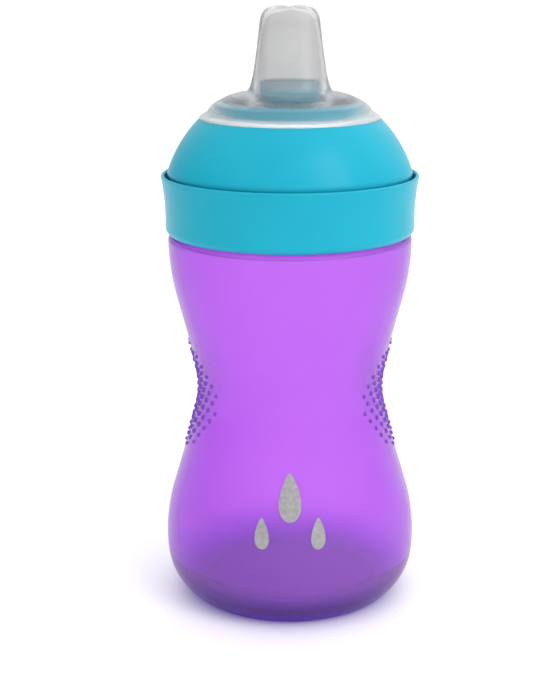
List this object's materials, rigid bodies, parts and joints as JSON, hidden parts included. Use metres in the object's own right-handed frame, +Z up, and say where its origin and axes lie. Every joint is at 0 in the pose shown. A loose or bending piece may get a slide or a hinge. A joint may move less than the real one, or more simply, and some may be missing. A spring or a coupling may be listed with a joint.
{
  "type": "sippy cup",
  "caption": "Hourglass drinking cup with grip pips at its waist, a flared screw collar, a stepped dome lid and a soft oval spout over a lift valve.",
  "frame": {"origin": "centre of the base, on the surface the cup stands on", "axes": "+Z up the cup's axis to the spout, -Y is the front, the grip pips face -X and +X"},
  "size_m": [0.0786, 0.0786, 0.1832],
  "materials": {
    "cup_plastic": "glossy, translucent",
    "grip_rubber": "satin",
    "collar_plastic": "glossy",
    "dome_plastic": "glossy",
    "seal_silicone": "satin",
    "spout_silicone": "satin, translucent",
    "valve_plastic": "satin",
    "membrane_silicone": "satin"
  },
  "bodies": {
    "cup": {"cup_body": "cup_plastic", "left_grip_pips": "grip_rubber", "right_grip_pips": "grip_rubber"},
    "lid": {"spout_dome": "dome_plastic", "rim_seal": "seal_silicone", "spout": "spout_silicone"},
    "collar": {"collar_ring": "collar_plastic"},
    "valve": {"valve_housing": "valve_plastic"},
    "retainer": {"valve_retainer": "valve_plastic"},
    "membrane": {"valve_membrane": "membrane_silicone"}
  },
  "joints": [
    {"name": "lid_lift", "type": "slide", "parent": "cup", "child": "lid", "axis": [0, 0, 1], "range_m": [0, 0.00667]},
    {"name": "collar_turn", "type": "hinge", "parent": "lid", "child": "collar", "pos_m": [0, 0, 0.12], "axis": [0, 0, 1], "range_deg": [0, 300]},
    {"name": "valve_pull", "type": "slide", "parent": "lid", "child": "valve", "axis": [0, 0, -1], "range_m": [0, 0.014]},
    {"name": "retainer_pull", "type": "slide", "parent": "valve", "child": "retainer", "axis": [0, 0, -1], "range_m": [0, 0.004]},
    {"name": "membrane_lift", "type": "slide", "parent": "valve", "child": "membrane", "axis": [0, 0, 1], "range_m": [0, 0.0007], "stiffness_N_per_m": 4, "springref_m": -0.001}
  ],
  "couplings": [
    {"joint": "lid_lift", "follows": "collar_turn", "m_per_rad": 0.0012732}
  ]
}
